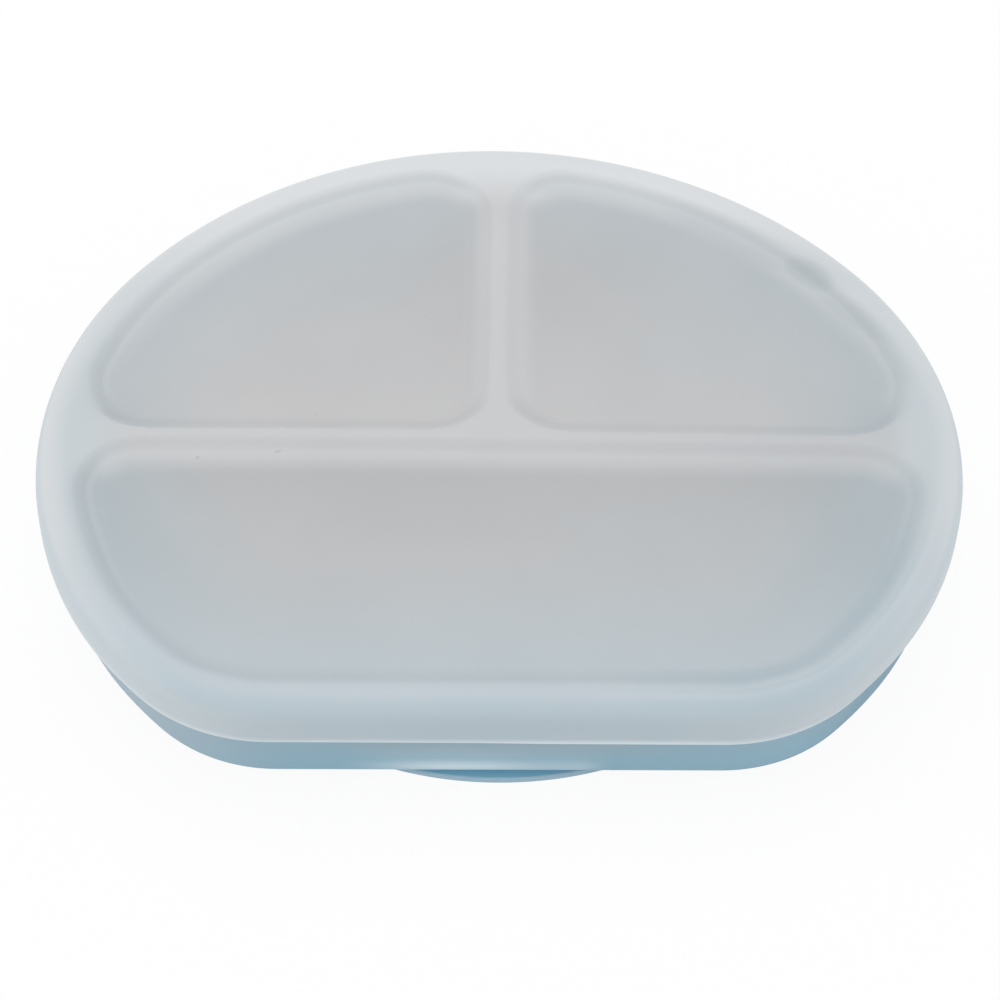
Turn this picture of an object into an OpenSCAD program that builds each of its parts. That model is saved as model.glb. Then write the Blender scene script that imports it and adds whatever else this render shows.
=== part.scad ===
// Divided silicone plate with an integral suction foot, and its stretch lid.
// X runs across the plate, Y runs from the flat front to the curved back, Z is up.
// The origin is on the table, under the middle of the lid's outline.

/* [Rim outline] */
// Width of the plate across its rim
rim_w = 218.2; // [206:0.2:240]
// Reach of the rim from its widest line to the back
back_reach = 98.2; // [88:0.2:102]
// Reach of the rim from its widest line to the flat front
front_reach = 77.4; // [66:0.2:84]
// Radius of the two front corners
corner_r = 41.5; // [30:0.5:50]

/* [Plate] */
// Height of the rim's crest above the table
rim_z = 35; // [28:0.5:44]
// Height of the underside above the table
base_z = 6.2; // [5.2:0.2:9]
// Thickness of the compartment floors
floor_t = 3.6; // [2.5:0.1:5]
// Width of the rim, from its outer edge to a compartment
rim_band = 8; // [7.8:0.1:10]
// Rounding of the rim's outer edge
rim_round = 4.6; // [2:0.1:4.7]
// Height of the rim's upright collar
collar_h = 9; // [6:0.5:12]
// How far the outer wall leans in below the collar
wall_lean = 2.2; // [1:0.1:6]
// Rounding where the outer wall meets the underside
heel_r = 3; // [1:0.1:4]

/* [Compartments] */
// Width of the dividers at their crest
divider_w = 6.4; // [6.2:0.1:9]
// Distance of the cross divider behind the rim's widest line
divider_y = 2.6; // [0:0.2:16]
// Rounding of the top edge of each compartment
crest_r = 3; // [1:0.1:3]
// Corner radius of the compartments
pocket_corner_r = 14; // [12.5:0.5:20]
// How far a compartment's wall leans in at the floor
pocket_lean = 2.2; // [0.5:0.1:3]
// Fillet between the walls and the floor
scoop_r = 8; // [4:0.5:8.5]

/* [Suction foot] */
// How far the foot's lip stays inside the flat front
foot_inset = 3.8; // [2:0.2:14]
// How far the lip spreads beyond the foot's root
foot_spread = 20; // [16:0.5:30]
// Width of the flat ring that rests on the table
lip_w = 2; // [1.5:0.1:3]
// Thickness of the foot's lip at its edge
lip_t = 2; // [1.4:0.1:2.6]
// Rise of the foot's upper face from the lip to the root
foot_rise = 1.8; // [1:0.1:2.4]
// Height of the hollow under the foot
hollow_h = 3.6; // [2.4:0.1:3.8]
// How far inside the root the hollow's sloping ceiling ends
hollow_inset = 8; // [4:0.5:14]

/* [Lid] */
// Wall thickness of the lid
lid_t = 1.6; // [1.2:0.1:2]
// Clearance between the lid's skirt and the rim
lid_gap = 0.3; // [0.1:0.05:0.6]
// Height of the lid from its crest to the skirt's edge
lid_h = 11.2; // [9.6:0.2:15]
// Depth of the panels below the lid's crest
panel_depth = 1.5; // [1:0.1:2.6]
// Width of the curved step round each panel
step_w = 4.2; // [3.8:0.1:5.5]
// Clearance between a panel's step and the compartment's crest
step_gap = 0.3; // [0.2:0.05:0.8]

/* [Hidden] */

silicone_blue = [0.6, 0.73, 0.8];
frosted_white = [0.85, 0.88, 0.9, 0.8];

// How far a drawn outline may stray from its true arc
chord_gap = 0.08;
// Steps in each rounding of a profile, in each half of a panel's step, and round the foot
fillet_steps = 4;
step_steps = 3;
foot_steps = 120;
// Overlap that joins or cuts solids cleanly
over = 1;

// The rim is an oval of two arc sizes, cut by the flat front with two corner arcs.
// Its sides have the radius that an ellipse of the same proportion has there.
half_w = rim_w / 2;
side_r = back_reach ^ 2 / half_w;
back_r = (half_w ^ 2 + back_reach ^ 2 - 2 * half_w * side_r) / (2 * (back_reach - side_r));
wide_y = (front_reach - back_reach) / 2;
back_cy = wide_y + back_reach - back_r;
flank_cy = 2 * wide_y - back_cy;
side_cx = half_w - side_r;
side_a = atan((wide_y - back_cy) / side_cx);

// A front corner's arc meets the flank's arc, or the side's own arc where the front is nearer.
corner_cy = wide_y - front_reach + corner_r;
flank_cx = sqrt((back_r - corner_r) ^ 2 - (corner_cy - flank_cy) ^ 2);
flank_a = atan2(corner_cy - flank_cy, flank_cx);
on_flank = flank_a < -side_a;
corner_side_cx = side_cx + sqrt((side_r - corner_r) ^ 2 - (corner_cy - wide_y) ^ 2);
corner_cx = on_flank ? flank_cx : corner_side_cx;
corner_a = on_flank ? flank_a : atan2(corner_cy - wide_y, corner_side_cx - side_cx);
side_start_a = max(corner_a, -side_a);

foot_r = (front_reach + back_reach) / 2 - foot_inset;
foot_root_r = foot_r - foot_spread;
floor_z = base_z + floor_t;
lid_z = rim_z + lid_t;
lid_out = lid_gap + lid_t;
skirt_z = lid_z - lid_h;
scoop = min(scoop_r, pocket_corner_r - pocket_lean - 2 * over);
pocket_lean_a = atan2(pocket_lean, rim_z - floor_z);
crest_reach = crest_r * tan(45 - pocket_lean_a / 2);
step_under_x = crest_reach - step_gap - step_w;
step_top_x = step_under_x - lid_t * panel_depth / step_w;

// An arc is [centre x, centre y, radius, start angle, end angle]. Arcs run anticlockwise.
function point_at(arc, angle, out = 0) =
    [arc[0] + (arc[2] + out) * cos(angle), arc[1] + (arc[2] + out) * sin(angle)];
function mirrored(arc) = [-arc[0], arc[1], arc[2], 180 - arc[4], 180 - arc[3]];
function mirrored_all(arcs) = [for (i = [len(arcs) - 1:-1:0]) mirrored(arcs[i])];

// Points along an outline moved outwards, with an arc's last point left to the next arc where they meet.
function meets(arc, next) = norm(point_at(arc, arc[4]) - point_at(next, next[3])) < 0.01;
function arc_steps(arc) = 2 * ceil((arc[4] - arc[3]) / (4 * acos(1 - chord_gap / arc[2])));
function trace(arcs, out) = [
    for (k = [0:len(arcs) - 1])
        let (arc = arcs[k], n = arc_steps(arc), last = meets(arc, arcs[(k + 1) % len(arcs)]) ? n - 1 : n)
            for (i = [0:last]) point_at(arc, arc[3] + (arc[4] - arc[3]) * i / n, out)
];

// Points of a fillet of radius r at corner b, between its neighbours a and c.
function unit(v) = v / norm(v);
function fillet(a, b, c, r) =
    let (
        u = unit(a - b),
        v = unit(c - b),
        half = acos(u * v) / 2,
        centre = b + unit(u + v) * r / sin(half),
        from = b + u * r / tan(half) - centre,
        turn = (180 - 2 * half) * sign(u[1] * v[0] - u[0] * v[1]),
        start = atan2(from[1], from[0])
    )
    [for (i = [0:fillet_steps])
        let (t = start + turn * i / fillet_steps) centre + r * [cos(t), sin(t)]];

// Points of a panel's curved step, which rises from its flat at x, z and is level at both ends.
function step_curve(x, z) =
    let (
        r = (step_w ^ 2 + panel_depth ^ 2) / (4 * panel_depth),
        swing = 2 * atan2(panel_depth, step_w),
        end = [x + step_w, z + panel_depth - r]
    )
    concat(
        [for (i = [0:step_steps])
            let (t = -90 + swing * i / step_steps) [x + r * cos(t), z + r + r * sin(t)]],
        [for (i = [1:step_steps])
            let (t = 90 + swing * (1 - i / step_steps)) end + r * [cos(t), sin(t)]]
    );

right_rim = concat(
    [[corner_cx, corner_cy, corner_r, -90, corner_a]],
    on_flank ? [[0, flank_cy, back_r, corner_a, -side_a]] : [],
    [[side_cx, wide_y, side_r, side_start_a, side_a]]
);
rim_arcs = concat(right_rim, [[0, back_cy, back_r, side_a, 180 - side_a]], mirrored_all(right_rim));

// The compartments follow the rim at the rim's width, and the dividers at half of theirs.
half_div = divider_w / 2;
pr = pocket_corner_r;
side_in = side_r - rim_band;
back_in = back_r - rim_band;

// Centre of the corner where a back compartment meets the side and the cross divider
outer_cy = wide_y + divider_y + half_div + pr;
outer_side_cx = side_cx + sqrt((side_in - pr) ^ 2 - (outer_cy - wide_y) ^ 2);
outer_side_a = atan2(outer_cy - wide_y, outer_side_cx - side_cx);
on_side = outer_side_a < side_a;
outer_cx = on_side ? outer_side_cx : sqrt((back_in - pr) ^ 2 - (outer_cy - back_cy) ^ 2);
outer_a = on_side ? outer_side_a : atan2(outer_cy - back_cy, outer_cx);

// Centre of the corner where a back compartment meets the back and the short divider
inner_cx = half_div + pr;
inner_cy = back_cy + sqrt((back_in - pr) ^ 2 - inner_cx ^ 2);
inner_a = atan2(inner_cy - back_cy, inner_cx);

right_pocket = concat(
    [[outer_cx, outer_cy, pr, -90, outer_a]],
    on_side ? [[side_cx, wide_y, side_in, outer_a, side_a]] : [],
    [
        [0, back_cy, back_in, on_side ? side_a : outer_a, inner_a],
        [inner_cx, inner_cy, pr, inner_a, 180],
        [inner_cx, outer_cy, pr, 180, 270]
    ]
);

// Centre of the corner where the front compartment meets the side and the cross divider
wing_cy = wide_y + divider_y - half_div - pr;
wing_cx = side_cx + sqrt((side_in - pr) ^ 2 - (wing_cy - wide_y) ^ 2);
wing_a = atan2(wing_cy - wide_y, wing_cx - side_cx);
front_right = concat(
    [[corner_cx, corner_cy, corner_r - rim_band, -90, corner_a]],
    on_flank ? [[0, flank_cy, back_in, corner_a, -side_a]] : [],
    [
        [side_cx, wide_y, side_in, side_start_a, wing_a],
        [wing_cx, wing_cy, pr, wing_a, 90]
    ]
);
pockets = [right_pocket, mirrored_all(right_pocket), concat(front_right, mirrored_all(front_right))];

// A closed solid whose wall has the given profile all round an outline, with flat ends.
// The profile runs upwards. Its x is the distance outside the outline, and its y is the height.
module moulded(arcs, profile) {
    rings = [for (p = profile) [for (q = trace(arcs, p[0])) [q[0], q[1], p[1]]]];
    n = len(rings[0]);
    top = (len(rings) - 1) * n;
    polyhedron(
        points = [for (ring = rings) each ring],
        faces = concat(
            [[for (i = [0:n - 1]) i]],
            [for (k = [0:len(rings) - 2]) for (i = [0:n - 1])
                let (j = (i + 1) % n, a = k * n, b = a + n) [a + i, b + i, b + j, a + j]],
            [[for (i = [n - 1:-1:0]) top + i]]
        )
    );
}

// Outer wall, with a rounded heel, a leaning side, an upright collar and a rounded rim
function plate_profile() =
    let (
        inside = -rim_round - over,
        heel = [-wall_lean, base_z],
        collar = [0, rim_z - collar_h],
        edge = [0, rim_z]
    )
    concat(
        fillet([inside - wall_lean, base_z], heel, collar, heel_r),
        [collar],
        fillet(collar, edge, [inside, rim_z], rim_round)
    );

// Hollow of a compartment, with a scooped floor and a rounded top edge
function pocket_profile() =
    let (foot = [-pocket_lean, floor_z], edge = [0, rim_z])
    concat(
        fillet([-pocket_lean - scoop_r, floor_z], foot, edge, scoop),
        fillet(foot, edge, [crest_r, rim_z], crest_r),
        [[crest_r, rim_z + over]]
    );

// Outside of the lid, from the skirt's edge over the rounded rim
function lid_profile() =
    let (low = [lid_out, skirt_z], edge = [lid_out, lid_z])
    concat([low], fillet(low, edge, [-rim_round, lid_z], rim_round + lid_out));

// Space inside the lid's skirt and crest
function cavity_profile() =
    let (low = [lid_gap, skirt_z - over], edge = [lid_gap, rim_z])
    concat([low], fillet(low, edge, [-rim_round, rim_z], rim_round + lid_gap));

// Suction foot, a thin lip round a shallow hollow, widest at the table
module foot() {
    root_z = lip_t + foot_rise;
    edge_r = lip_t / 4;
    rotate_extrude($fn = foot_steps)
        polygon([
            [0, hollow_h],
            [foot_root_r - hollow_inset, hollow_h],
            [foot_r - lip_w, 0],
            [foot_r - edge_r, 0],
            [foot_r, edge_r],
            [foot_r, lip_t - edge_r],
            [foot_r - edge_r, lip_t],
            [foot_root_r + over, root_z],
            [foot_root_r, root_z + over],
            [foot_root_r, base_z + over],
            [0, base_z + over]
        ]);
}

module plate() {
    color(silicone_blue) {
        difference() {
            moulded(rim_arcs, plate_profile());
            for (arcs = pockets) moulded(arcs, pocket_profile());
        }
        foot();
    }
}

// The lid is a sheet of even thickness, so each panel has one step above and one below.
module lid() {
    under_top = rim_z + lid_t / 2;
    color(frosted_white)
        difference() {
            union() {
                difference() {
                    moulded(rim_arcs, lid_profile());
                    moulded(rim_arcs, cavity_profile());
                }
                for (arcs = pockets)
                    moulded(arcs, concat(
                        step_curve(step_under_x, rim_z - panel_depth),
                        [[step_under_x + step_w, under_top]]
                    ));
            }
            for (arcs = pockets)
                moulded(arcs, concat(
                    step_curve(step_top_x, lid_z - panel_depth),
                    [[step_top_x + step_w + over, lid_z + over]]
                ));
        }
}

plate();
lid();
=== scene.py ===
import math

import bmesh
import bpy
import numpy as np
from bpy.props import FloatProperty, FloatVectorProperty, PointerProperty
from mathutils import Matrix, Vector, noise
from mathutils.geometry import delaunay_2d_cdt


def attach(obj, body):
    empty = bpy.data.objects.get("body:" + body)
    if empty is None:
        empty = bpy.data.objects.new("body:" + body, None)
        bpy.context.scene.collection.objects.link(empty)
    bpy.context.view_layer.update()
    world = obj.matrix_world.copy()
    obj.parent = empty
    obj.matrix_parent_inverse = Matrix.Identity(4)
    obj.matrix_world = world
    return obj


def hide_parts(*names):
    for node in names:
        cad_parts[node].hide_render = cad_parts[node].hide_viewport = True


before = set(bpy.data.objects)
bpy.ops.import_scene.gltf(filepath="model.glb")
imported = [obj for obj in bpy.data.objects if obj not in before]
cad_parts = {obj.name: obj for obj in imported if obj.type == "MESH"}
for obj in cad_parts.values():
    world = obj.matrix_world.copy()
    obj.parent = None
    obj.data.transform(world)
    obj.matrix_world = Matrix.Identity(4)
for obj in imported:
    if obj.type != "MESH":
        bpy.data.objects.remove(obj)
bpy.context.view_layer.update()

bl_info = {
    "name": "Divided plate with lid",
    "version": (1, 0, 0),
    "blender": (4, 5, 0),
    "location": "3D View > Sidebar > Plate",
    "description": "Builds a divided silicone plate, its suction foot and its stretch lid",
    "category": "Add Mesh",
}

MM = 0.001
INSIDE_EDGES = 1  # delaunay_2d_cdt's output without the triangles outside the outer ring
SPACING = 1.6 * MM  # between the points of an outline and of a crest
PANEL_SPACING = 3.2 * MM  # between the points of a panel's flat
PANEL_RINGS = [0.8, 1.8, 3.0, 4.4, 6.0, 8.0]  # mm inside a step, widening towards the flat
STEP_OUT = 2.1 * MM  # how far a panel's step reaches outside its compartment
WORLD_LEVEL = 0.78  # strength of the even light from all sides
FLOOR_HALF = 2.0  # half the floor's side
SENSOR = 36  # width of the camera's sensor, mm


def length(name, default, description):
    return FloatProperty(
        name=name, description=description, default=default * MM, precision=5, unit="LENGTH"
    )


def colour(name, default, description):
    return FloatVectorProperty(
        name=name, description=description, default=default, size=3, min=0, max=1, subtype="COLOR"
    )


# Sizes that a user would change


class RimSizes(bpy.types.PropertyGroup):
    width: length("Width", 218.2, "Width of the plate across its rim")
    back: length("Back reach", 98.2, "From the rim's widest line to its back")
    front: length("Front reach", 77.4, "From the rim's widest line to the flat front")
    corner: length("Corner radius", 41.5, "Radius of the two front corners")
    band: length("Band", 8, "Width of the rim, from its outer edge to a compartment")
    divider: length("Divider", 6.4, "Width of the dividers at their crest")
    divider_y: length("Divider place", 2.6, "Cross divider, behind the rim's widest line")
    pocket_corner: length("Compartment corner", 14, "Corner radius of the compartments")


class PlateSizes(bpy.types.PropertyGroup):
    top: length("Rim height", 35, "Height of the rim's crest above the table")
    base: length("Base height", 6.2, "Height of the underside above the table")
    floor: length("Floor", 3.6, "Thickness of the compartment floors")
    rim_round: length("Rim rounding", 4.6, "Rounding of the rim's outer edge")
    collar: length("Collar", 9, "Height of the rim's upright collar")
    lean: length("Wall lean", 2.6, "How far the outer wall leans in below the collar")
    heel: length("Heel", 3, "Rounding where the wall meets the underside")
    crest: length("Crest rounding", 3, "Rounding of the top edge of a compartment")
    pocket_lean: length("Compartment lean", 2.2, "How far a compartment's wall leans in")
    scoop: length("Scoop", 8, "Fillet between the walls and the floor")
    askew: length("Askew", 0.35, "How far the base sits to the right of the rim")


class FootSizes(bpy.types.PropertyGroup):
    lip: length("Lip radius", 84, "Radius of the foot's lip")
    root: length("Root radius", 64, "Radius of the foot where it joins the underside")
    ring: length("Ring width", 2, "Width of the flat ring that rests on the table")
    thick: length("Lip thickness", 2, "Thickness of the lip at its edge")
    rise: length("Rise", 1.8, "Rise of the upper face from the lip to the root")
    hollow: length("Hollow height", 3.6, "Height of the hollow under the foot")
    slope_end: length("Slope end", 56, "Radius where the hollow's ceiling levels out")
    rounding: length("Rounding", 0.6, "Rounding of the foot's edges")


class LidSizes(bpy.types.PropertyGroup):
    sheet: length("Sheet", 1.6, "Thickness of the lid")
    gap: length("Skirt gap", 0.3, "Clearance between the skirt and the rim")
    height: length("Height", 11.5, "From the lid's crest to the skirt's edge")
    depth: length("Panel depth", 1.5, "Depth of the panels below the crest")
    step: length("Step width", 4.6, "Width of the curved step round each panel")
    edge_round: length("Edge rounding", 0.6, "Height of the rounded lower edge of the skirt")
    sag: length("Panel sag", 0.35, "How far the sheet sags in the middle of a panel")
    crown: length("Crown", 0.18, "How far the crest rounds over between two steps")
    askew: length("Askew", 1.4, "How far the sheet is pulled forwards at its right")
    lean: length("Lean", 0.9, "How far the sheet is pulled to the right at its back")
    proud: length("Proud", 0.9, "How far the sheet is stretched outwards at the front corners")
    bend: length("Bend", 0.47, "How far the skirt is pulled to the right at its sides")


class Colours(bpy.types.PropertyGroup):
    blue: colour("Blue", (0.255, 0.445, 0.56), "Silicone of the plate")
    # Pale blue: a random mottle over the plate, and painted light on its left front
    blue_mottle_and_light: colour("Pale blue", (0.33, 0.445, 0.525), "Plate where it is lighter, left front")
    # Deep blue: painted shade on the plate's right front
    blue_shaded: colour("Deep blue", (0.165, 0.31, 0.41), "Plate at its right front")
    # Shadowed blue: painted shade on the plate's wall under the lid's skirt
    blue_shadowed: colour("Shadowed blue", (0.33, 0.405, 0.44), "Plate's wall under the skirt")
    # Foot and lip: the plate's silicone, painted lighter for the light bounced under the plate,
    # and a painted highlight on the lip's edge
    blue_foot_lit: colour("Foot blue", (0.3, 0.63, 0.82), "Thin lip of the suction foot")
    blue_lip_highlight: colour("Lip blue", (0.4, 0.585, 0.7), "Edge of the lip")
    # Painted shadow along the heel of the plate's right front wall
    heel_shadow: colour("Shading", (0.05, 0.15, 0.22), "Shadow at the foot of the right wall")
    glow: colour("Glow", (0.75, 0.87, 0.93), "Foot of the front wall, over the lip")
    # Crests: painted light, lighter at the back than at the sides and in front
    crest_back: colour("Crest, back", (0.675, 0.698, 0.718), "Lid on the rim at the back")
    crest_side: colour("Crest, sides", (0.532, 0.585, 0.619), "Lid on the rim at the sides")
    crest_front: colour("Crest, front", (0.518, 0.587, 0.633), "Lid on the rim in front")
    divider: colour("Divider", (0.55, 0.56, 0.577), "Lid on the dividers")
    # Brows and skirts: painted shade in front, where the sheet turns from the overhead light, and
    # painted light at the sides
    brow_front: colour("Brow, front", (0.478, 0.566, 0.622), "Lid's rounded edge in front")
    brow_side: colour("Brow, sides", (0.612, 0.645, 0.67), "Lid's rounded edge at the sides")
    skirt: colour("Skirt", (0.464, 0.548, 0.601), "Skirt over the blue wall")
    skirt_side: colour("Skirt, sides", (0.53, 0.6, 0.64), "The same, round the corners")
    # Edge: a painted highlight along the skirt's lower edge
    edge: colour("Edge", (0.72, 0.8, 0.85), "Thin lower edge of the skirt")
    # Hollows: painted shade of the deep compartments seen through the sheet, with a lit copy on
    # each panel's near side
    hollow: colour("Hollow", (0.43, 0.438, 0.449), "Panels, where a compartment is deep below")
    hollow_lit: colour("Hollow, lit", (0.521, 0.522, 0.53), "The same, on a panel's near side")
    border_back: colour("Border, back", (0.457, 0.493, 0.52), "Panels by the rim, at the back")
    border_side: colour("Border, sides", (0.4, 0.455, 0.487), "Panels by the rim, at the sides")
    border_front: colour("Border, front", (0.464, 0.522, 0.558), "Panels by the rim, in front")
    shade: colour("Shade", (0.2, 0.25, 0.28), "Steps, where the sheet stands steep")
    # Light: painted highlight at the foot of a step and painted light on the panels by the back
    # step, also a faint random mottle
    light: colour("Light", (0.85, 0.87, 0.88), "Foot of a step, where the sheet is thick")
    # Dent shade: painted shade of a dent in the right panel's back step
    dent_shade: colour("Dent", (0.15, 0.23, 0.27), "Dent in the right panel's back step")
    # Cool: blue seen through the sheet, and painted shade towards the right
    cool: colour("Cool", (0.22, 0.36, 0.44), "Blue that shows through more at the right")


class StageSettings(bpy.types.PropertyGroup):
    distance: length("Camera distance", 743.9, "From the camera to the aim point")
    lens: FloatProperty(
        name="Lens", description="Focal length in mm, on a sensor 36 mm wide", default=110.71
    )
    elevation: FloatProperty(
        name="Elevation",
        description="Angle of the camera above the table",
        default=math.radians(51.82),
        unit="ROTATION",
        subtype="ANGLE",
    )
    turn: FloatProperty(
        name="Turn",
        description="How far the camera stands round to the left",
        default=math.radians(0.68),
        unit="ROTATION",
        subtype="ANGLE",
    )
    roll: FloatProperty(
        name="Roll",
        description="Roll of the camera about its own axis",
        default=math.radians(0.77),
        unit="ROTATION",
        subtype="ANGLE",
    )


class PlateSettings(bpy.types.PropertyGroup):
    rim: PointerProperty(type=RimSizes)
    plate: PointerProperty(type=PlateSizes)
    foot: PointerProperty(type=FootSizes)
    lid: PointerProperty(type=LidSizes)
    colours: PointerProperty(type=Colours)
    stage: PointerProperty(type=StageSettings)


# Outlines, as chains of tangent arcs: (centre x, centre y, radius, start angle, end angle)


def degrees_to(x, y):
    return math.degrees(math.atan2(y, x))


def leg(hypotenuse, other):
    return math.sqrt(hypotenuse * hypotenuse - other * other)


def mirrored(arcs):
    return [(-x, y, r, 180 - end, 180 - start) for x, y, r, start, end in reversed(arcs)]


def outline_arcs(rim):
    """The arcs of the rim, and of the right, left and front compartments."""
    half = rim.width / 2
    side_r = rim.back * rim.back / half
    back_r = (half**2 + rim.back**2 - 2 * half * side_r) / (2 * (rim.back - side_r))
    wide_y = (rim.front - rim.back) / 2
    back_cy = wide_y + rim.back - back_r
    flank_cy = 2 * wide_y - back_cy
    side_cx = half - side_r
    side_a = degrees_to(side_cx, wide_y - back_cy)
    corner_cy = wide_y - rim.front + rim.corner
    corner_cx = leg(back_r - rim.corner, corner_cy - flank_cy)
    corner_a = degrees_to(corner_cx, corner_cy - flank_cy)
    right = [
        (corner_cx, corner_cy, rim.corner, -90, corner_a),
        (0, flank_cy, back_r, corner_a, -side_a),
        (side_cx, wide_y, side_r, -side_a, side_a),
    ]
    edge = right + [(0, back_cy, back_r, side_a, 180 - side_a)] + mirrored(right)

    half_div = rim.divider / 2
    small = rim.pocket_corner
    side_in = side_r - rim.band
    back_in = back_r - rim.band
    outer_cy = wide_y + rim.divider_y + half_div + small
    outer_cx = side_cx + leg(side_in - small, outer_cy - wide_y)
    outer_a = degrees_to(outer_cx - side_cx, outer_cy - wide_y)
    inner_cx = half_div + small
    inner_cy = back_cy + leg(back_in - small, inner_cx)
    inner_a = degrees_to(inner_cx, inner_cy - back_cy)
    back_right = [
        (outer_cx, outer_cy, small, -90, outer_a),
        (side_cx, wide_y, side_in, outer_a, side_a),
        (0, back_cy, back_in, side_a, inner_a),
        (inner_cx, inner_cy, small, inner_a, 180),
        (inner_cx, outer_cy, small, 180, 270),
    ]
    wing_cy = wide_y + rim.divider_y - half_div - small
    wing_cx = side_cx + leg(side_in - small, wing_cy - wide_y)
    wing_a = degrees_to(wing_cx - side_cx, wing_cy - wide_y)
    front_right = [
        (corner_cx, corner_cy, rim.corner - rim.band, -90, corner_a),
        (0, flank_cy, back_in, corner_a, -side_a),
        (side_cx, wide_y, side_in, -side_a, wing_a),
        (wing_cx, wing_cy, small, wing_a, 90),
    ]
    return edge, [back_right, mirrored(back_right), front_right + mirrored(front_right)]


def traced(arcs, spacing=SPACING):
    """Rows of (x, y, normal x, normal y) round a closed outline, arcs and straights alike."""
    rows = []
    for here, after in zip(arcs, arcs[1:] + arcs[:1]):
        x, y, radius, start, end = here
        steps = max(2, math.ceil(radius * math.radians(end - start) / spacing))
        for i in range(steps):
            a = math.radians(start + (end - start) * i / steps)
            c, s = math.cos(a), math.sin(a)
            rows.append((x + radius * c, y + radius * s, c, s))
        a = math.radians(end)
        last = Vector((x + radius * math.cos(a), y + radius * math.sin(a)))
        b = math.radians(after[3])
        first = Vector((after[0] + after[2] * math.cos(b), after[1] + after[2] * math.sin(b)))
        gap = (first - last).length
        if gap > spacing / 100:
            steps = max(1, math.ceil(gap / spacing))
            for i in range(steps):
                p = last.lerp(first, i / steps)
                rows.append((p.x, p.y, math.cos(a), math.sin(a)))
    return np.array(rows)


def fillet(a, b, c, radius, steps=8):
    """Points of a rounding at corner b of a profile, between its neighbours a and c."""
    a, b, c = Vector(a), Vector(b), Vector(c)
    u, v = (a - b).normalized(), (c - b).normalized()
    half = u.angle(v) / 2
    centre = b + (u + v).normalized() * radius / math.sin(half)
    start = b + u * radius / math.tan(half) - centre
    turn = math.pi - 2 * half
    if u.x * v.y - u.y * v.x > 0:
        turn = -turn
    return [tuple(centre + Matrix.Rotation(turn * i / steps, 2) @ start) for i in range(steps + 1)]


def stroke(a, b, steps):
    """Evenly spaced points of a profile from a towards b, without b."""
    return [tuple(Vector(a).lerp(Vector(b), i / steps)) for i in range(steps)]


class Skin:
    """A closed skin made of rings that follow outlines, and of flats between rings."""

    def __init__(self):
        self.mesh = bmesh.new()

    def ring(self, outline, out, z):
        return [self.mesh.verts.new((x + nx * out, y + ny * out, z)) for x, y, nx, ny in outline]

    def wall(self, outline, profile, start=None):
        """Rings at the (outwards, height) points of a profile, joined up. Gives the end rings."""
        rings = [start] if start else []
        rings += [self.ring(outline, out, z) for out, z in profile]
        for low, high in zip(rings, rings[1:]):
            self.band(low, high)
        return rings[0], rings[-1]

    def band(self, low, high):
        n = len(low)
        for i in range(n):
            j = (i + 1) % n
            self.mesh.faces.new((low[i], low[j], high[j], high[i]))

    def flat(self, outer, holes=(), inside=()):
        """Triangles that fill a ring, round its holes and through loose points inside it."""
        verts = list(inside)
        fixed = []
        for loop in (outer, *holes):
            ids = range(len(verts), len(verts) + len(loop))
            fixed += zip(ids, [*ids[1:], ids[0]])
            verts += loop
        points = [v.co.xy for v in verts]
        _, _, faces, source, _, _ = delaunay_2d_cdt(points, fixed, [], INSIDE_EDGES, 1e-9)
        faces = [[source[i][0] for i in face] for face in faces]

        # A hole's own triangles lie left of its ring, so they are followed from there and dropped
        beside = {}
        for face in faces:
            for side in zip(face, face[1:] + face[:1]):
                beside[side] = face
        walls = {*fixed, *((b, a) for a, b in fixed)}
        dropped, todo = set(), [beside[side] for side in fixed[len(outer) :] if side in beside]
        while todo:
            face = todo.pop()
            if tuple(face) in dropped:
                continue
            dropped.add(tuple(face))
            for a, b in zip(face, face[1:] + face[:1]):
                if (a, b) not in walls and (b, a) in beside:
                    todo.append(beside[b, a])
        for face in faces:
            if tuple(face) not in dropped:
                self.mesh.faces.new([verts[i] for i in face])

    def add_mesh(self, mesh):
        """Adds a mesh, and gives its new vertices."""
        known = set(self.mesh.verts)
        self.mesh.from_mesh(mesh)
        return [v for v in self.mesh.verts if v not in known]

    def finish(self, name):
        bmesh.ops.recalc_face_normals(self.mesh, faces=self.mesh.faces)
        mesh = bpy.data.meshes.new(name)
        self.mesh.to_mesh(mesh)
        self.mesh.free()
        mesh.shade_smooth()
        piece = bpy.data.objects.new(name, mesh)
        bpy.context.scene.collection.objects.link(piece)
        return piece


# Node trees: a socket takes Python's arithmetic, and every other node comes from one method


class Value:
    """A socket in a node tree. Python's arithmetic on it adds Math nodes."""

    def __init__(self, nodes, socket):
        self.nodes = nodes
        self.socket = socket

    def __add__(self, other):
        return self.nodes.maths("ADD", self, other)

    def __radd__(self, other):
        return self.nodes.maths("ADD", other, self)

    def __sub__(self, other):
        return self.nodes.maths("SUBTRACT", self, other)

    def __rsub__(self, other):
        return self.nodes.maths("SUBTRACT", other, self)

    def __mul__(self, other):
        return self.nodes.maths("MULTIPLY", self, other)

    def __rmul__(self, other):
        return self.nodes.maths("MULTIPLY", other, self)

    def rise(self, low, high):
        """0 below low, 1 above high, and a smooth rise between them."""
        return self.nodes.add(
            "ShaderNodeMapRange",
            {"interpolation_type": "SMOOTHSTEP"},
            {"Value": self, "From Min": low, "From Max": high},
        )

    def hump(self, low, peak_low, peak_high, high):
        """1 between the two peaks, and a smooth fall to 0 on both sides."""
        return self.rise(low, peak_low) * (1 - self.rise(peak_high, high))


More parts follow.
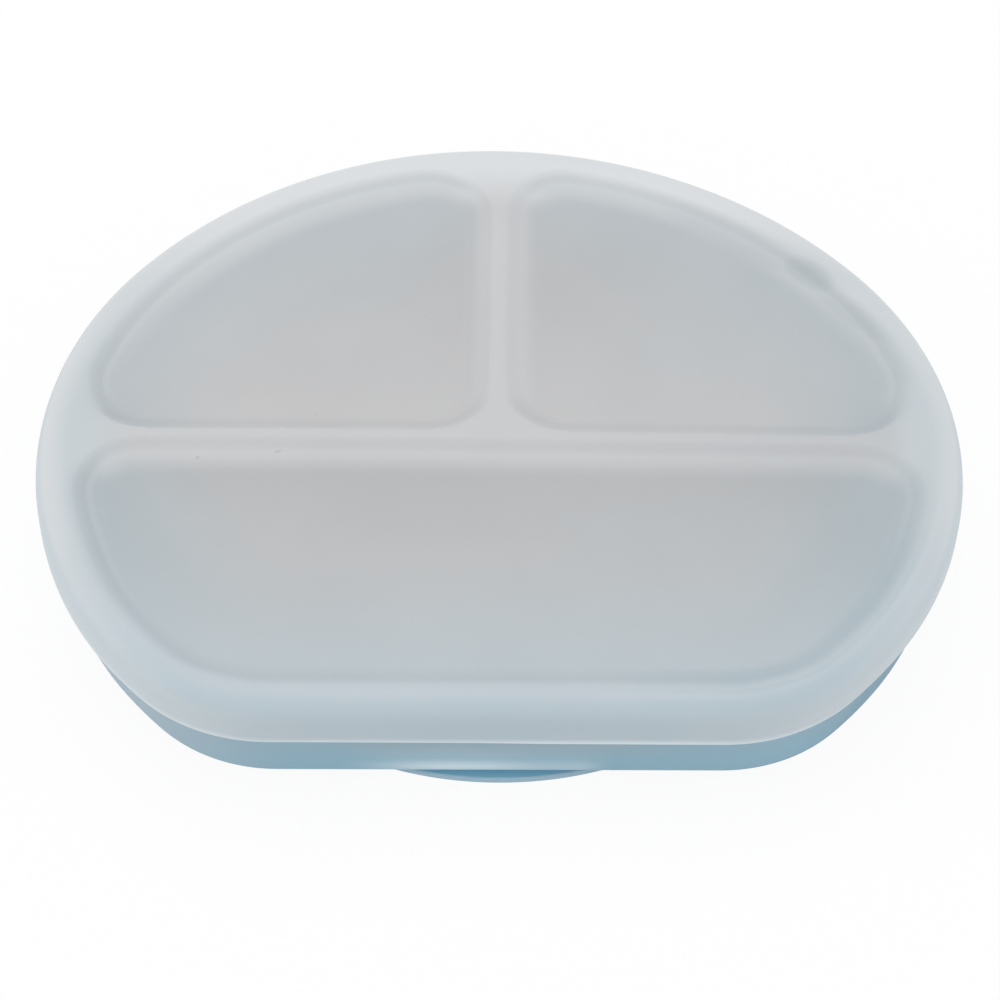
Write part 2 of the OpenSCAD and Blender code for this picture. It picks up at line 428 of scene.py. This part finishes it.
class Nodes:
    """Adds nodes to a tree."""

    def __init__(self, tree):
        self.tree = tree

    def add(self, kind, settings=None, inputs=None, output=0):
        node = self.tree.nodes.new(kind)
        for name, value in (settings or {}).items():
            setattr(node, name, value)
        for name, value in (inputs or {}).items():
            self.put(node.inputs[name], value)
        return Value(self, node.outputs[output]) if len(node.outputs) else None

    def put(self, socket, value):
        if isinstance(value, Value):
            self.tree.links.new(value.socket, socket)
        else:
            socket.default_value = value

    def maths(self, operation, *values):
        return self.add("ShaderNodeMath", {"operation": operation}, dict(enumerate(values)))

    def mix(self, share, a, b):
        """A colour between a and b."""
        a, b = (c if isinstance(c, Value) else (*c, 1) for c in (a, b))
        factor, first, second, result = 0, 6, 7, 2
        inputs = {factor: share, first: a, second: b}
        return self.add("ShaderNodeMix", {"data_type": "RGBA"}, inputs, result)

    def grain(self, size, detail=2.0, offset=(0, 0, 0)):
        """Noise from 0 to 1 with features about as large as size."""
        place = self.add("ShaderNodeTexCoord", output="Object")
        place = self.add("ShaderNodeMapping", None, {"Vector": place, "Location": offset})
        inputs = {"Vector": place, "Scale": 1 / size, "Detail": detail}
        return self.add("ShaderNodeTexNoise", None, inputs)

    def attribute(self, name):
        return self.add("ShaderNodeAttribute", {"attribute_name": name}, None, "Fac")

    def place(self, axis):
        """One of the object's own coordinates, in mm."""
        where = self.add("ShaderNodeTexCoord", output="Object")
        return self.add("ShaderNodeSeparateXYZ", None, {0: where}, axis) * (1 / MM)

    def spot(self, centre, half_length, half_width, angle):
        """1 in the middle of an ellipse on the object's plan, and 0 outside it."""
        x, y = self.place(0) - centre[0], self.place(1) - centre[1]
        c, s = math.cos(math.radians(angle)), math.sin(math.radians(angle))
        along = (x * c + y * s) * (1 / half_length)
        across = (y * c - x * s) * (1 / half_width)
        return 1 - (along * along + across * across).rise(0, 1)


def new_material(name):
    material = bpy.data.materials.new(name)
    material.use_nodes = True
    material.node_tree.nodes.clear()
    return material, Nodes(material.node_tree)


def surface(nodes, shader):
    nodes.add("ShaderNodeOutputMaterial", None, {"Surface": shader})


def moulded_finish(nodes, base_colour, roughness, bump):
    """Matte silicone: a fine moulded grain over the colour, and a gloss that varies a little."""
    height = nodes.grain(0.35 * MM, 3) * 0.6 + nodes.grain(1.8 * MM, 2) * 0.4
    depth = 0.05 * MM
    normal = nodes.add(
        "ShaderNodeBump", None, {"Height": height, "Strength": bump, "Distance": depth}
    )
    inputs = {"Base Color": base_colour, "Roughness": roughness, "Normal": normal, "IOR": 1.41}
    surface(nodes, nodes.add("ShaderNodeBsdfPrincipled", None, inputs))


def blue_silicone(colours):
    """The plate's blue varies along its front, where it is in view below the lid, in painted light
    and shade.
    """
    material, nodes = new_material("blue_silicone")
    x, y, z = (nodes.place(axis) for axis in range(3))
    aside = nodes.maths("ABSOLUTE", x).rise(20, 50)
    front = 1 - y.rise(-60, -20)
    wall = z.rise(5, 6.5)
    cloud = nodes.grain(38 * MM, 2).rise(0.35, 0.7)
    base = nodes.mix(cloud * 0.12, colours.blue, colours.blue_mottle_and_light)
    # Painted light on the left front wall
    base = nodes.mix((1 - x.rise(-88, -35)) * front, base, colours.blue_mottle_and_light)
    # Painted shade on the right front wall
    base = nodes.mix(x.rise(62, 92) * front, base, colours.blue_shaded)
    # Painted shade on the wall under the lid's skirt
    shade_under_skirt = z.hump(11, 22, 31, 32) * front * (0.6 - aside * 0.35)
    base = nodes.mix(shade_under_skirt, base, colours.blue_shadowed)
    # Painted shadow along the heel of the right front wall
    heel_shadow_share = x.rise(45, 80) * (1 - z.rise(7.5, 9.5)) * front * wall * 0.6
    base = nodes.mix(heel_shadow_share, base, colours.heel_shadow)

    # Light that the lip throws on the wall above it
    level = 0.18 * (1 - z.rise(15, 22)) + 0.82 * (1 - z.rise(9.5, 14.5))
    reach = x.rise(-38, -12) * (1 - x.rise(-8, 14) * 0.54) * (1 - x.rise(18, 27))
    glow = level * reach * (z.rise(7.5, 10) * 0.4 + 0.6) * (1 - y.rise(-84, -82)) * wall
    base = nodes.mix(glow * 0.755, base, colours.glow)

    # The foot, by how far out it lies. It is painted lighter than the plate's blue for the light
    # bounced under the plate, with a painted highlight on the lip's edge
    where = nodes.add("ShaderNodeTexCoord", output="Object")
    radius = nodes.add("ShaderNodeVectorMath", {"operation": "LENGTH"}, {0: where}, "Value")
    radius = radius * (1 / MM)
    lip = nodes.mix(radius.rise(83.3, 83.9), colours.blue_foot_lit, colours.blue_lip_highlight)
    base = nodes.mix((1 - z.rise(4.5, 6)) * radius.rise(77, 80), base, lip)
    roughness = nodes.grain(6 * MM, 3) * 0.08 + 0.46
    moulded_finish(nodes, base, roughness, 0.12)
    return material


def frosted_silicone(colours):
    """The lid's tint follows what backs the sheet: the rim, a divider, a hollow or the wall. It is
    painted light and shade that stand in for the light through the frosted sheet.
    """
    material, nodes = new_material("frosted_silicone")
    inset = nodes.attribute("panel_inset")
    run = nodes.attribute("panel_run")
    rim_inset = nodes.attribute("rim_inset")
    turn = nodes.attribute("edge_turn")
    x, y, z = (nodes.place(axis) for axis in range(3))
    right = x.rise(0, 95)

    # Which way the nearest step faces, and whether it runs along the rim or a divider
    back = turn.rise(0.2, 0.85)
    near = 1 - turn.rise(-0.85, -0.2)
    side = 1 - back - near
    outer = 1 - rim_inset.rise(10, 16)
    inner = 1 - outer

    # The crests, by the rim's sides and along the dividers, painted lighter at the back where more
    # light falls, and with painted shade towards the right
    crest = nodes.mix(y.rise(0, 80), colours.crest_side, colours.crest_back)
    crest = nodes.mix(y.rise(-80, -20), colours.crest_front, crest)
    crest = nodes.mix(rim_inset.rise(6, 23), crest, colours.divider)
    crest = nodes.mix(right * inner * 0.12, crest, colours.shade)
    # Painted shade on the rounded brow in front, lighter at the sides
    aside = nodes.maths("ABSOLUTE", x).rise(30, 80)
    brow = nodes.mix(aside * y.rise(-95, -20), colours.brow_front, colours.brow_side)
    on_brow = (1 - rim_inset.rise(1, 4 + aside * 3)) * (1 - y.rise(20, 60))
    crest = nodes.mix(on_brow, crest, brow)

    # The panels, which are bluer by the rim and greyer over the deep middle, where painted shade
    # stands for the hollow below and lightens towards a panel's near side
    border = nodes.mix(y.rise(-35, 15), colours.border_side, colours.border_back)
    border = nodes.mix(y.rise(-76, -26), colours.border_front, border)
    panel = nodes.mix(run, colours.hollow, colours.hollow_lit)
    panel = nodes.mix(rim_inset.rise(10, 49), border, panel)
    # Painted shade, darker towards the right
    panel = nodes.mix(right * 0.08, panel, colours.cool)
    # Painted light on the panels by the back step
    panel = nodes.mix(back * outer * (1 - inset.rise(1, 13)) * 0.3, panel, colours.light)

    # How far the crest's tint has given way to the panel's, on each kind of step
    by_rim = side * inset.rise(-4.6, 4.4) + near * inset.rise(-7.1, 4.2)
    by_rim = by_rim + back * inset.rise(-2.1, 2.3)
    by_divider = side * inset.rise(0.4, 6.8) + near * inset.rise(-3.2, -1.8)
    by_divider = by_divider + back * inset.rise(2, 9.5)
    base = nodes.mix(outer * by_rim + inner * by_divider, crest, panel)

    # Painted shade on the steps, where the sheet stands steep, and a painted highlight at their
    # feet
    shaded = near * outer * inset.hump(-2, 1, 2.6, 4.4) * 0.08
    shaded = shaded + near * inner * inset.hump(-3.2, -2.2, -0.9, 1) * 0.08
    shaded = shaded + back * outer * inset.hump(-0.6, 0.8, 1.5, 2.5) * 0.08
    shaded = shaded + near * side * inset.hump(-4, -2, 1, 3) * (outer * 0.02 + 0.1)
    shaded = shaded + side * outer * right * y.rise(0, 25) * inset.hump(-3, -1.5, 1, 2.2) * 0.09
    shaded = shaded + side * inner * (1 - x.rise(-1, 1)) * inset.hump(-1.5, -0.5, 4, 5.5) * 0.08
    shaded = shaded + nodes.spot((65, 54.5), 34, 6, -32) * 0.14
    shaded = shaded + nodes.spot((87.1, 32.1), 17, 3.3, -50) * 0.14
    base = nodes.mix(shaded, base, colours.shade)
    # Painted shade of a dent in the right panel's back step
    base = nodes.mix(nodes.spot((78.1, 44.5), 8.8, 4.4, -42) * 0.21, base, colours.dent_shade)
    # Painted highlight at the foot of the side steps
    base = nodes.mix(side * outer * inset.hump(1.6, 2.3, 2.9, 4.4) * 0.08, base, colours.light)

    # Blue shows through the right front corner in a thin line, and bands of painted shade darken
    # the step and the brow there
    corner = x.rise(15, 55) * (1 - y.rise(-50, -20))
    show = outer * inset.hump(-4, -0.5, 3.5, 6) * 0.14 + rim_inset.hump(3.7, 4.5, 4.9, 5.8) * 0.1
    show = show + rim_inset.hump(0, 0.8, 2.2, 3.2) * 0.06
    base = nodes.mix(corner * show, base, colours.cool)

    # The skirt, with painted shade in front and painted light round the corners, and its thin edge
    skirt = nodes.mix(aside, colours.skirt, colours.skirt_side)
    base = nodes.mix(z.rise(33.3, 35.1), skirt, base)
    # Painted highlight along the skirt's lower edge
    base = nodes.mix((1 - z.rise(25, 27.6)) * (1 - aside * 0.45), base, colours.edge)
    cloud = nodes.grain(24 * MM, 2, (0.3, 0.1, 0)).rise(0.3, 0.7)
    base = nodes.mix(cloud * 0.03, base, colours.light)

    # Lint on the sheet
    lint = nodes.spot((-52.5, -13.1), 1.3, 0.3, 20) + nodes.spot((-71.5, -14.9), 0.55, 0.5, 0)
    lint = lint + nodes.spot((-43.9, -1.2), 0.9, 0.25, -60) * 0.6
    base = nodes.mix(lint * 0.3, base, colours.shade)
    roughness = nodes.grain(9 * MM, 3) * 0.08 + 0.4
    moulded_finish(nodes, base, roughness, 0.1)
    return material


def seen_rays(nodes):
    """1 for what the camera, a reflection or clear glass sees, 0 for what lights the object."""
    names = ("Is Camera Ray", "Is Glossy Ray", "Is Transmission Ray")
    camera, glossy, through = (nodes.add("ShaderNodeLightPath", output=name) for name in names)
    return nodes.maths("MAXIMUM", nodes.maths("MAXIMUM", camera, glossy), through)


def pale_floor():
    """A pale floor that a camera sees almost white, with the object's shadow left on it."""
    material, nodes = new_material("pale_floor")
    speck = nodes.grain(40 * MM, 2)
    tint = nodes.mix(speck * 0.3, (0.96, 0.96, 0.96), (0.93, 0.935, 0.94))
    matte = nodes.add("ShaderNodeBsdfDiffuse", None, {"Color": tint})
    glow = nodes.add("ShaderNodeEmission", None, {"Color": (1, 1, 1, 1), "Strength": 1.0})
    white_share = seen_rays(nodes) * 0.93
    surface(nodes, nodes.add("ShaderNodeMixShader", None, {0: white_share, 1: matte, 2: glow}))
    return material


def white_world(level):
    """White where a camera or a reflection sees it, and an even light of the given level."""
    world = bpy.data.worlds.new("studio")
    world.use_nodes = True
    world.node_tree.nodes.clear()
    nodes = Nodes(world.node_tree)
    strength = seen_rays(nodes) * (1 - level) + level
    inputs = {"Color": (1, 1, 1, 1), "Strength": strength}
    glow = nodes.add("ShaderNodeBackground", None, inputs)
    nodes.add("ShaderNodeOutputWorld", None, {"Surface": glow})
    bpy.context.scene.world = world


# The foot is a profile swept round a circle by Geometry Nodes

FOOT_INPUTS = {
    "Lip radius": "lip",
    "Root radius": "root",
    "Ring width": "ring",
    "Lip thickness": "thick",
    "Rise": "rise",
    "Hollow height": "hollow",
    "Slope end": "slope_end",
    "Rounding": "rounding",
}


def foot_tree():
    tree = bpy.data.node_groups.new("Suction foot", "GeometryNodeTree")
    tree.is_modifier = True
    for name in (*FOOT_INPUTS, "Root height"):
        tree.interface.new_socket(name=name, in_out="INPUT", socket_type="NodeSocketFloat")
    tree.interface.new_socket(name="Material", in_out="INPUT", socket_type="NodeSocketMaterial")
    tree.interface.new_socket(name="Geometry", in_out="OUTPUT", socket_type="NodeSocketGeometry")
    nodes = Nodes(tree)
    group = tree.nodes.new("NodeGroupInput")
    size = {s.name: Value(nodes, s) for s in group.outputs if s.name}
    lip, root, thick = size["Lip radius"], size["Root radius"], size["Lip thickness"]

    # Corners of the profile, as (radius, height), from the root down and in to the middle
    corners = [
        (root, size["Root height"]),
        (root, thick + size["Rise"]),
        (lip, thick),
        (lip, 0),
        (lip - size["Ring width"], 0),
        (size["Slope end"], size["Hollow height"]),
        (0, size["Hollow height"]),
    ]
    # A swept profile runs outwards along x and downwards along y, from the path's circle
    places = [
        nodes.add("ShaderNodeCombineXYZ", None, {"X": radius - lip, "Y": 0 - height})
        for radius, height in corners
    ]
    join = tree.nodes.new("GeometryNodeJoinGeometry")
    for start, end in zip(places, places[1:]):
        line = nodes.add("GeometryNodeCurvePrimitiveLine", None, {"Start": start, "End": end})
        tree.links.new(line.socket, join.inputs[0])
    edges = nodes.add("GeometryNodeCurveToMesh", None, {"Curve": Value(nodes, join.outputs[0])})
    inputs = {"Geometry": edges, "Distance": 0.01 * MM}
    edges = nodes.add("GeometryNodeMergeByDistance", None, inputs)
    profile = nodes.add("GeometryNodeMeshToCurve", None, {"Mesh": edges})
    profile = nodes.add(
        "GeometryNodeFilletCurve",
        {"mode": "POLY"},
        {"Curve": profile, "Count": 5, "Radius": size["Rounding"], "Limit Radius": True},
    )
    # Swept round the lip, welded where it meets itself and on the axis
    path = nodes.add("GeometryNodeCurvePrimitiveCircle", None, {"Resolution": 224, "Radius": lip})
    skin = nodes.add("GeometryNodeCurveToMesh", None, {"Curve": path, "Profile Curve": profile})
    inputs = {"Geometry": skin, "Distance": 0.005 * MM}
    skin = nodes.add("GeometryNodeMergeByDistance", None, inputs)
    skin = nodes.add("GeometryNodeRealizeInstances", None, {"Geometry": skin})
    inputs = {"Geometry": skin, "Material": size["Material"]}
    skin = nodes.add("GeometryNodeSetMaterial", None, inputs)
    nodes.add("NodeGroupOutput", None, {"Geometry": skin})
    return tree


def foot_mesh(foot, root_height, material):
    """The foot's skin, open where it joins the underside."""
    tree = foot_tree()
    carrier = bpy.data.objects.new("foot_carrier", bpy.data.meshes.new("foot_carrier"))
    bpy.context.scene.collection.objects.link(carrier)
    modifier = carrier.modifiers.new("Suction foot", "NODES")
    modifier.node_group = tree
    values = {name: getattr(foot, key) for name, key in FOOT_INPUTS.items()}
    values.update({"Root height": root_height, "Material": material})
    for item in tree.interface.items_tree:
        if item.in_out == "INPUT":
            modifier[item.identifier] = values[item.name]
    view = bpy.context.evaluated_depsgraph_get()
    mesh = bpy.data.meshes.new_from_object(carrier.evaluated_get(view))
    bpy.data.objects.remove(carrier)
    return mesh


# The plate


def build_plate(settings):
    s = settings.plate
    edge_arcs, pocket_arcs = outline_arcs(settings.rim)
    edge = traced(edge_arcs)
    pockets = [traced(arcs) for arcs in pocket_arcs]
    skin = Skin()

    inside = -s.rim_round - 1 * MM
    heel, collar, brow = (-s.lean, s.base), (0, s.top - s.collar), (0, s.top)
    low = fillet((inside - s.lean, s.base), heel, collar, s.heel)
    brow_round = fillet(collar, brow, (inside, s.top), s.rim_round, 12)
    profile = low + stroke(low[-1], collar, 8)[1:] + stroke(collar, brow_round[0], 3) + brow_round
    under, crest = skin.wall(edge, profile)

    floor_z = s.base + s.floor
    toe, lip = (-s.pocket_lean, floor_z), (0, s.top)
    crest_round = fillet(toe, lip, (s.crest, s.top), s.crest)
    scoop = fillet((toe[0] - s.scoop, floor_z), toe, lip, s.scoop, 12)
    profile = crest_round[::-1] + stroke(crest_round[0], scoop[-1], 6)[1:] + scoop[::-1]
    mouths = []
    for pocket in pockets:
        mouth, floor = skin.wall(pocket, profile)
        mouths.append(mouth)
        skin.flat(floor)
    skin.flat(crest, mouths)

    foot = skin.add_mesh(foot_mesh(settings.foot, s.base, bpy.data.materials["blue_silicone"]))
    root = [v for v in foot if abs(v.co.z - s.base) < 0.01 * MM]
    root.sort(key=lambda v: math.atan2(v.co.y, v.co.x))
    skin.flat(under, [root])

    # A soft plate sits a little askew below its collar
    wall_top = s.top - s.collar
    for v in skin.mesh.verts:
        share = (wall_top - v.co.z) / (wall_top - s.base)
        v.co.x += s.askew * min(max(share, 0), 1)
    return skin.finish("plate_moulding")


# The lid


def distance_inside(points, outline):
    """How far points lie inside an outline, in mm and negative outside, and its normal there."""
    gaps, normals = [], []
    path = outline[:, :2]
    for chunk in np.array_split(points, 20):
        away = chunk[:, None, :] - path[None]
        nearest = (away**2).sum(2).argmin(1)
        row = outline[nearest]
        gaps.append(-((chunk - row[:, :2]) * row[:, 2:]).sum(1) / MM)
        normals.append(row[:, 2:])
    return np.concatenate(gaps), np.concatenate(normals)


def smooth_share(value, low, high):
    """0 below low, 1 above high, and a smooth rise between them."""
    t = np.clip((value - low) / (high - low), 0, 1)
    return t * t * (3 - 2 * t)


def half_round(centre_x, centre_z, half_width, drop, steps=12):
    """The lower half of an ellipse, as points of a profile from its left end."""
    points = []
    for i in range(steps + 1):
        a = math.radians(-180 + 180 * i / steps)
        points.append((centre_x + half_width * math.cos(a), centre_z + drop * math.sin(a)))
    return points


def step_profile(s, foot_out, top_z, steps=12):
    """A curved step, level at both ends, from a panel's flat up to the crest."""
    profile = []
    for i in range(steps + 1):
        t = i / steps
        ease = t * t * (3 - 2 * t)
        profile.append((foot_out + s.step * t, top_z - s.depth * (1 - ease)))
    return profile


def grid_inside(outline, out, spacing):
    """Points of an even triangular grid inside an outline moved outwards."""
    path = outline[:, :2] + outline[:, 2:] * out
    low, high = path.min(0), path.max(0)
    rows = []
    for j, y in enumerate(np.arange(low[1], high[1], spacing * 0.866)):
        shift = spacing / 2 if j % 2 else 0
        rows += [(x, y) for x in np.arange(low[0] + shift, high[0], spacing)]
    points = np.array(rows)
    moved = outline.copy()
    moved[:, :2] = path
    inside, _ = distance_inside(points, moved)
    return points[inside > spacing * 0.6 / MM]


def crest_spots(rim, edge, pockets):
    """Points along the middle of the dividers' crests and where they meet the rim."""
    middle = (rim.front - rim.back) / 2 + rim.divider_y
    along = np.arange(-rim.width / 2, rim.width / 2, SPACING)
    cross = np.column_stack([along, np.full(len(along), middle)])
    short = np.column_stack([np.zeros(len(along)), along])[along > middle + 1 * MM]
    lines = np.concatenate([cross, short])
    field = grid_inside(edge, -7 * MM, SPACING)
    wide = max_inset(field, pockets) < -(STEP_OUT + SPACING) / MM
    off_line = np.minimum(abs(field[:, 0]), abs(field[:, 1] - middle)) > 1.1 * MM
    field = field[wide & off_line]
    spots = np.concatenate([lines, field])
    rim_inset, _ = distance_inside(spots, edge)
    clear_of_steps = max_inset(spots, pockets) < -(STEP_OUT / MM + 0.7)
    clear_of_brow = rim_inset > 5.6
    return spots[clear_of_steps & clear_of_brow]


def max_inset(points, pockets):
    return np.max([distance_inside(points, pocket)[0] for pocket in pockets], axis=0)


def build_lid(settings):
    s, plate = settings.lid, settings.plate
    edge_arcs, pocket_arcs = outline_arcs(settings.rim)
    edge = traced(edge_arcs)
    pockets = [traced(arcs) for arcs in pocket_arcs]
    skin = Skin()

    # The skirt: round its lower edge and up its outside to the crest, then up its inside
    top_z = plate.top + s.sheet
    out = s.gap + s.sheet
    low_z = top_z - s.height
    edge_z = low_z + s.edge_round
    crest_x = -plate.rim_round
    rounding = half_round(out - s.sheet / 2, edge_z, s.sheet / 2, s.edge_round)
    brow = fillet((out, low_z), (out, top_z), (crest_x, top_z), plate.rim_round + out, 16)
    outside = rounding + stroke((out, edge_z), brow[0], 8)[1:] + brow
    start, crest = skin.wall(edge, outside)
    under_z = plate.top
    seat = plate.rim_round + s.gap
    hollow = fillet((s.gap, low_z), (s.gap, under_z), (crest_x, under_z), seat, 12)
    inside = stroke((s.gap, edge_z), hollow[0], 4)[1:] + hollow
    _, crest_under = skin.wall(edge, inside, start)

    # The panels, above and below. The lower step lies further out, so the sheet stays even, and
    # each has loose points on its flat, so that it can sag.
    rims, rims_under = [], []
    for pocket in pockets:
        for level, rim_list in ((top_z, rims), (under_z, rims_under)):
            shift = 0.0 if level == top_z else s.sheet * s.depth / s.step
            foot_out = STEP_OUT - s.step + shift
            profile = step_profile(s, foot_out, level)[::-1]
            profile += [(foot_out - ring * MM, level - s.depth) for ring in PANEL_RINGS]
            mouth, inner_ring = skin.wall(pocket, profile)
            rim_list.append(mouth)
            spots = grid_inside(pocket, foot_out - PANEL_RINGS[-1] * MM, PANEL_SPACING)
            loose = [skin.mesh.verts.new((x, y, level - s.depth)) for x, y in spots]
            skin.flat(inner_ring, (), loose)

    # The crest, with loose points along the dividers, so that it can round over
    spots = crest_spots(settings.rim, edge, pockets)
    loose = [skin.mesh.verts.new((x, y, top_z)) for x, y in spots]
    skin.flat(crest, rims, loose)
    skin.flat(crest_under, rims_under)

    piece = skin.finish("lid_sheet")
    settle_lid(piece.data, s, edge, pockets)
    return piece


# A soft sheet pulled on by hand sits a little askew. HANG is how far the skirt's lower edge is
# lifted along the front, as (x, lift) in mm.

RIPPLE = 0.22 * MM  # height of the ripples on the panels
SWELL = 0.1 * MM  # height of the slow waves over the top
SKIRT_SWELL = 0.25 * MM  # the same, at the skirt's lower edge
HANG = [(-67, -0.33), (-53, 0), (-5, 0), (10, -0.25), (62, -0.3), (72, 0), (79, 0.35), (84, 0.65)]


def nearest_panel(flat, outlines):
    """Each point's inset in its nearest compartment, the outline's normal y there, and its run
    from the compartment's back, 0, to its front, 1."""
    inset = np.full(len(flat), -99.0)
    normal_y = np.zeros(len(flat))
    run = np.zeros(len(flat))
    for outline in outlines:
        here, normal = distance_inside(flat, outline)
        nearer = here > inset
        low, high = outline[:, 1].min(), outline[:, 1].max()
        inset[nearer] = here[nearer]
        normal_y[nearer] = normal[nearer, 1]
        run[nearer] = ((high - flat[:, 1]) / (high - low))[nearer]
    return inset, normal_y, np.clip(run, 0, 1)


def wander(flat, period, seed):
    """Smooth noise over the plan, from about -1 to 1."""
    return np.array([noise.noise(Vector((x / period, y / period, seed))) for x, y in flat])


def settled_heights(s, where, rim_inset, panel_inset):
    """Heights once the panels sag, the crests round over and the skirt hangs unevenly."""
    flat, z = where[:, :2], where[:, 2]
    ripple, slow = wander(flat, 0.05, 3.7), wander(flat, 0.09, 8.1)
    sag = s.sag * smooth_share(panel_inset, 2, 24)
    crown = s.crown * smooth_share(-panel_inset, -3.0, 3.2) * smooth_share(rim_inset, 2, 7)
    loose = smooth_share(panel_inset, 1, 12)
    on_top = smooth_share(rim_inset, -2, 4)
    z = z + (crown - sag + ripple * loose * RIPPLE + slow * on_top * SWELL)

    x, y = (flat / MM).T
    skirt = smooth_share(-(z / MM), -34, -27)
    z = z + slow * skirt * SKIRT_SWELL
    return z + np.interp(x, *zip(*HANG)) * skirt * smooth_share(-y, 20, 50) * MM


def pulled_aside(s, flat, rim_inset, rim_normal):
    """How far the sheet is pulled across, and stretched outwards at the front corners."""
    x, y = (flat / MM).T
    middle = smooth_share(rim_inset, 7, 18)
    bend = 1 - ((np.maximum(y, -70) + 15) / 55) ** 2
    right = s.lean * middle * np.clip(y / 75, 0, 1) + s.bend * (1 - middle) * bend
    forwards = s.askew * middle * np.clip((x + 25) / 100, 0, 1.1)

    facing = -rim_normal[:, 1]
    corner = smooth_share(facing, 0.3, 0.65) * (1 - smooth_share(facing, 0.8, 0.98))
    reach = (0.15 + 0.85 * smooth_share(rim_inset, 2, 7)) * (1 - smooth_share(rim_inset, 12, 34))
    return np.column_stack([right, -forwards]) + rim_normal * (s.proud * corner * reach)[:, None]


def settle_lid(mesh, s, edge, pockets):
    """Lets the sheet sag and sit askew, and stores what its finish reads."""
    where = np.empty(len(mesh.vertices) * 3)
    mesh.vertices.foreach_get("co", where)
    where = where.reshape(-1, 3)
    flat = where[:, :2].copy()
    rim_inset, rim_normal = distance_inside(flat, edge)
    panel_inset, normal_y, run = nearest_panel(flat, pockets)
    where[:, 2] = settled_heights(s, where, rim_inset, panel_inset)
    where[:, :2] += pulled_aside(s, flat, rim_inset, rim_normal)
    mesh.vertices.foreach_set("co", where.ravel())

    stored = {
        "panel_inset": panel_inset,
        "rim_inset": rim_inset,
        "panel_run": run,
        "edge_turn": normal_y,
    }
    for name, values in stored.items():
        layer = mesh.attributes.new(name, "FLOAT", "POINT")
        layer.data.foreach_set("value", values.astype(np.float32))
    mesh.update()


def dress(piece, node, material):
    piece.data.materials.clear()
    piece.data.materials.append(material)
    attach(piece, "root")
    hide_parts(node)


class PLATE_OT_plate(bpy.types.Operator):
    """Build the plate with its compartments and suction foot"""

    bl_idname = "divided_plate.plate"
    bl_label = "Plate"

    def execute(self, context):
        settings = context.scene.divided_plate
        material = blue_silicone(settings.colours)
        dress(build_plate(settings), "plate", material)
        return {"FINISHED"}


class PLATE_OT_lid(bpy.types.Operator):
    """Build the stretch lid over the rim"""

    bl_idname = "divided_plate.lid"
    bl_label = "Lid"

    def execute(self, context):
        settings = context.scene.divided_plate
        material = frosted_silicone(settings.colours)
        dress(build_lid(settings), "lid", material)
        return {"FINISHED"}


class PLATE_OT_stage(bpy.types.Operator):
    """Set up the floor, the lights and the camera"""

    bl_idname = "divided_plate.stage"
    bl_label = "Stage"

    def execute(self, context):
        scene = context.scene
        stage = scene.divided_plate.stage
        scene.view_settings.view_transform = "Standard"
        white_world(WORLD_LEVEL)

        corners = [(-1, -1), (1, -1), (1, 1), (-1, 1)]
        mesh = bpy.data.meshes.new("floor")
        places = [(x * FLOOR_HALF, y * FLOOR_HALF, 0) for x, y in corners]
        mesh.from_pydata(places, [], [(0, 1, 2, 3)])
        floor = bpy.data.objects.new("floor", mesh)
        scene.collection.objects.link(floor)
        mesh.materials.append(pale_floor())

        # (name, place, size, power, colour) of each soft lamp, all aimed at the plate
        lamps = [
            ("overhead", (-0.1, 0.35, 1.1), 1.0, 2.4, (1, 1, 1)),
            ("left_fill", (-1.1, -0.2, 0.5), 0.8, 2.4, (1, 0.94, 0.88)),
            ("right_fill", (1.1, -0.1, 0.5), 0.8, 1.5, (0.95, 0.98, 1)),
        ]
        for name, place, size, power, tint in lamps:
            light = bpy.data.lights.new(name, "AREA")
            light.shape = "DISK"
            light.size = size
            light.energy = power
            light.color = tint
            lamp = bpy.data.objects.new(name, light)
            lamp.location = place
            lamp.rotation_euler = (Vector(place)).to_track_quat("Z", "Y").to_euler()
            scene.collection.objects.link(lamp)

        aim = Vector((0.62, -15.54, 20)) * MM
        level = stage.distance * math.cos(stage.elevation)
        away = Vector(
            (
                -level * math.sin(stage.turn),
                -level * math.cos(stage.turn),
                stage.distance * math.sin(stage.elevation),
            )
        )
        data = bpy.data.cameras.new("camera")
        data.lens = stage.lens
        data.sensor_width = SENSOR
        data.clip_start = 0.01
        camera = bpy.data.objects.new("camera", data)
        upright = away.to_track_quat("Z", "Y").to_matrix()
        turned = upright @ Matrix.Rotation(stage.roll, 3, "Z")
        camera.matrix_world = Matrix.Translation(aim + away) @ turned.to_4x4()
        scene.collection.objects.link(camera)
        scene.camera = camera
        return {"FINISHED"}


class PLATE_PT_panel(bpy.types.Panel):
    """The plate's builders, in the sidebar"""

    bl_idname = "PLATE_PT_panel"
    bl_label = "Divided plate"
    bl_space_type = "VIEW_3D"
    bl_region_type = "UI"
    bl_category = "Plate"

    def draw(self, context):
        layout = self.layout
        for operator in OPERATORS:
            layout.operator(operator.bl_idname)
        settings = context.scene.divided_plate
        for group in (settings.rim, settings.plate, settings.foot, settings.lid, settings.colours):
            box = layout.box()
            for name in group.__annotations__:
                box.prop(group, name)


OPERATORS = (PLATE_OT_plate, PLATE_OT_lid, PLATE_OT_stage)
GROUPS = (RimSizes, PlateSizes, FootSizes, LidSizes, Colours, StageSettings, PlateSettings)


def register():
    for cls in (*GROUPS, *OPERATORS, PLATE_PT_panel):
        bpy.utils.register_class(cls)
    bpy.types.Scene.divided_plate = PointerProperty(type=PlateSettings)


def unregister():
    del bpy.types.Scene.divided_plate
    for cls in reversed((*GROUPS, *OPERATORS, PLATE_PT_panel)):
        bpy.utils.unregister_class(cls)


def main():
    register()
    bpy.ops.divided_plate.plate()
    bpy.ops.divided_plate.lid()
    bpy.ops.divided_plate.stage()


if __name__ == "__main__":
    main()
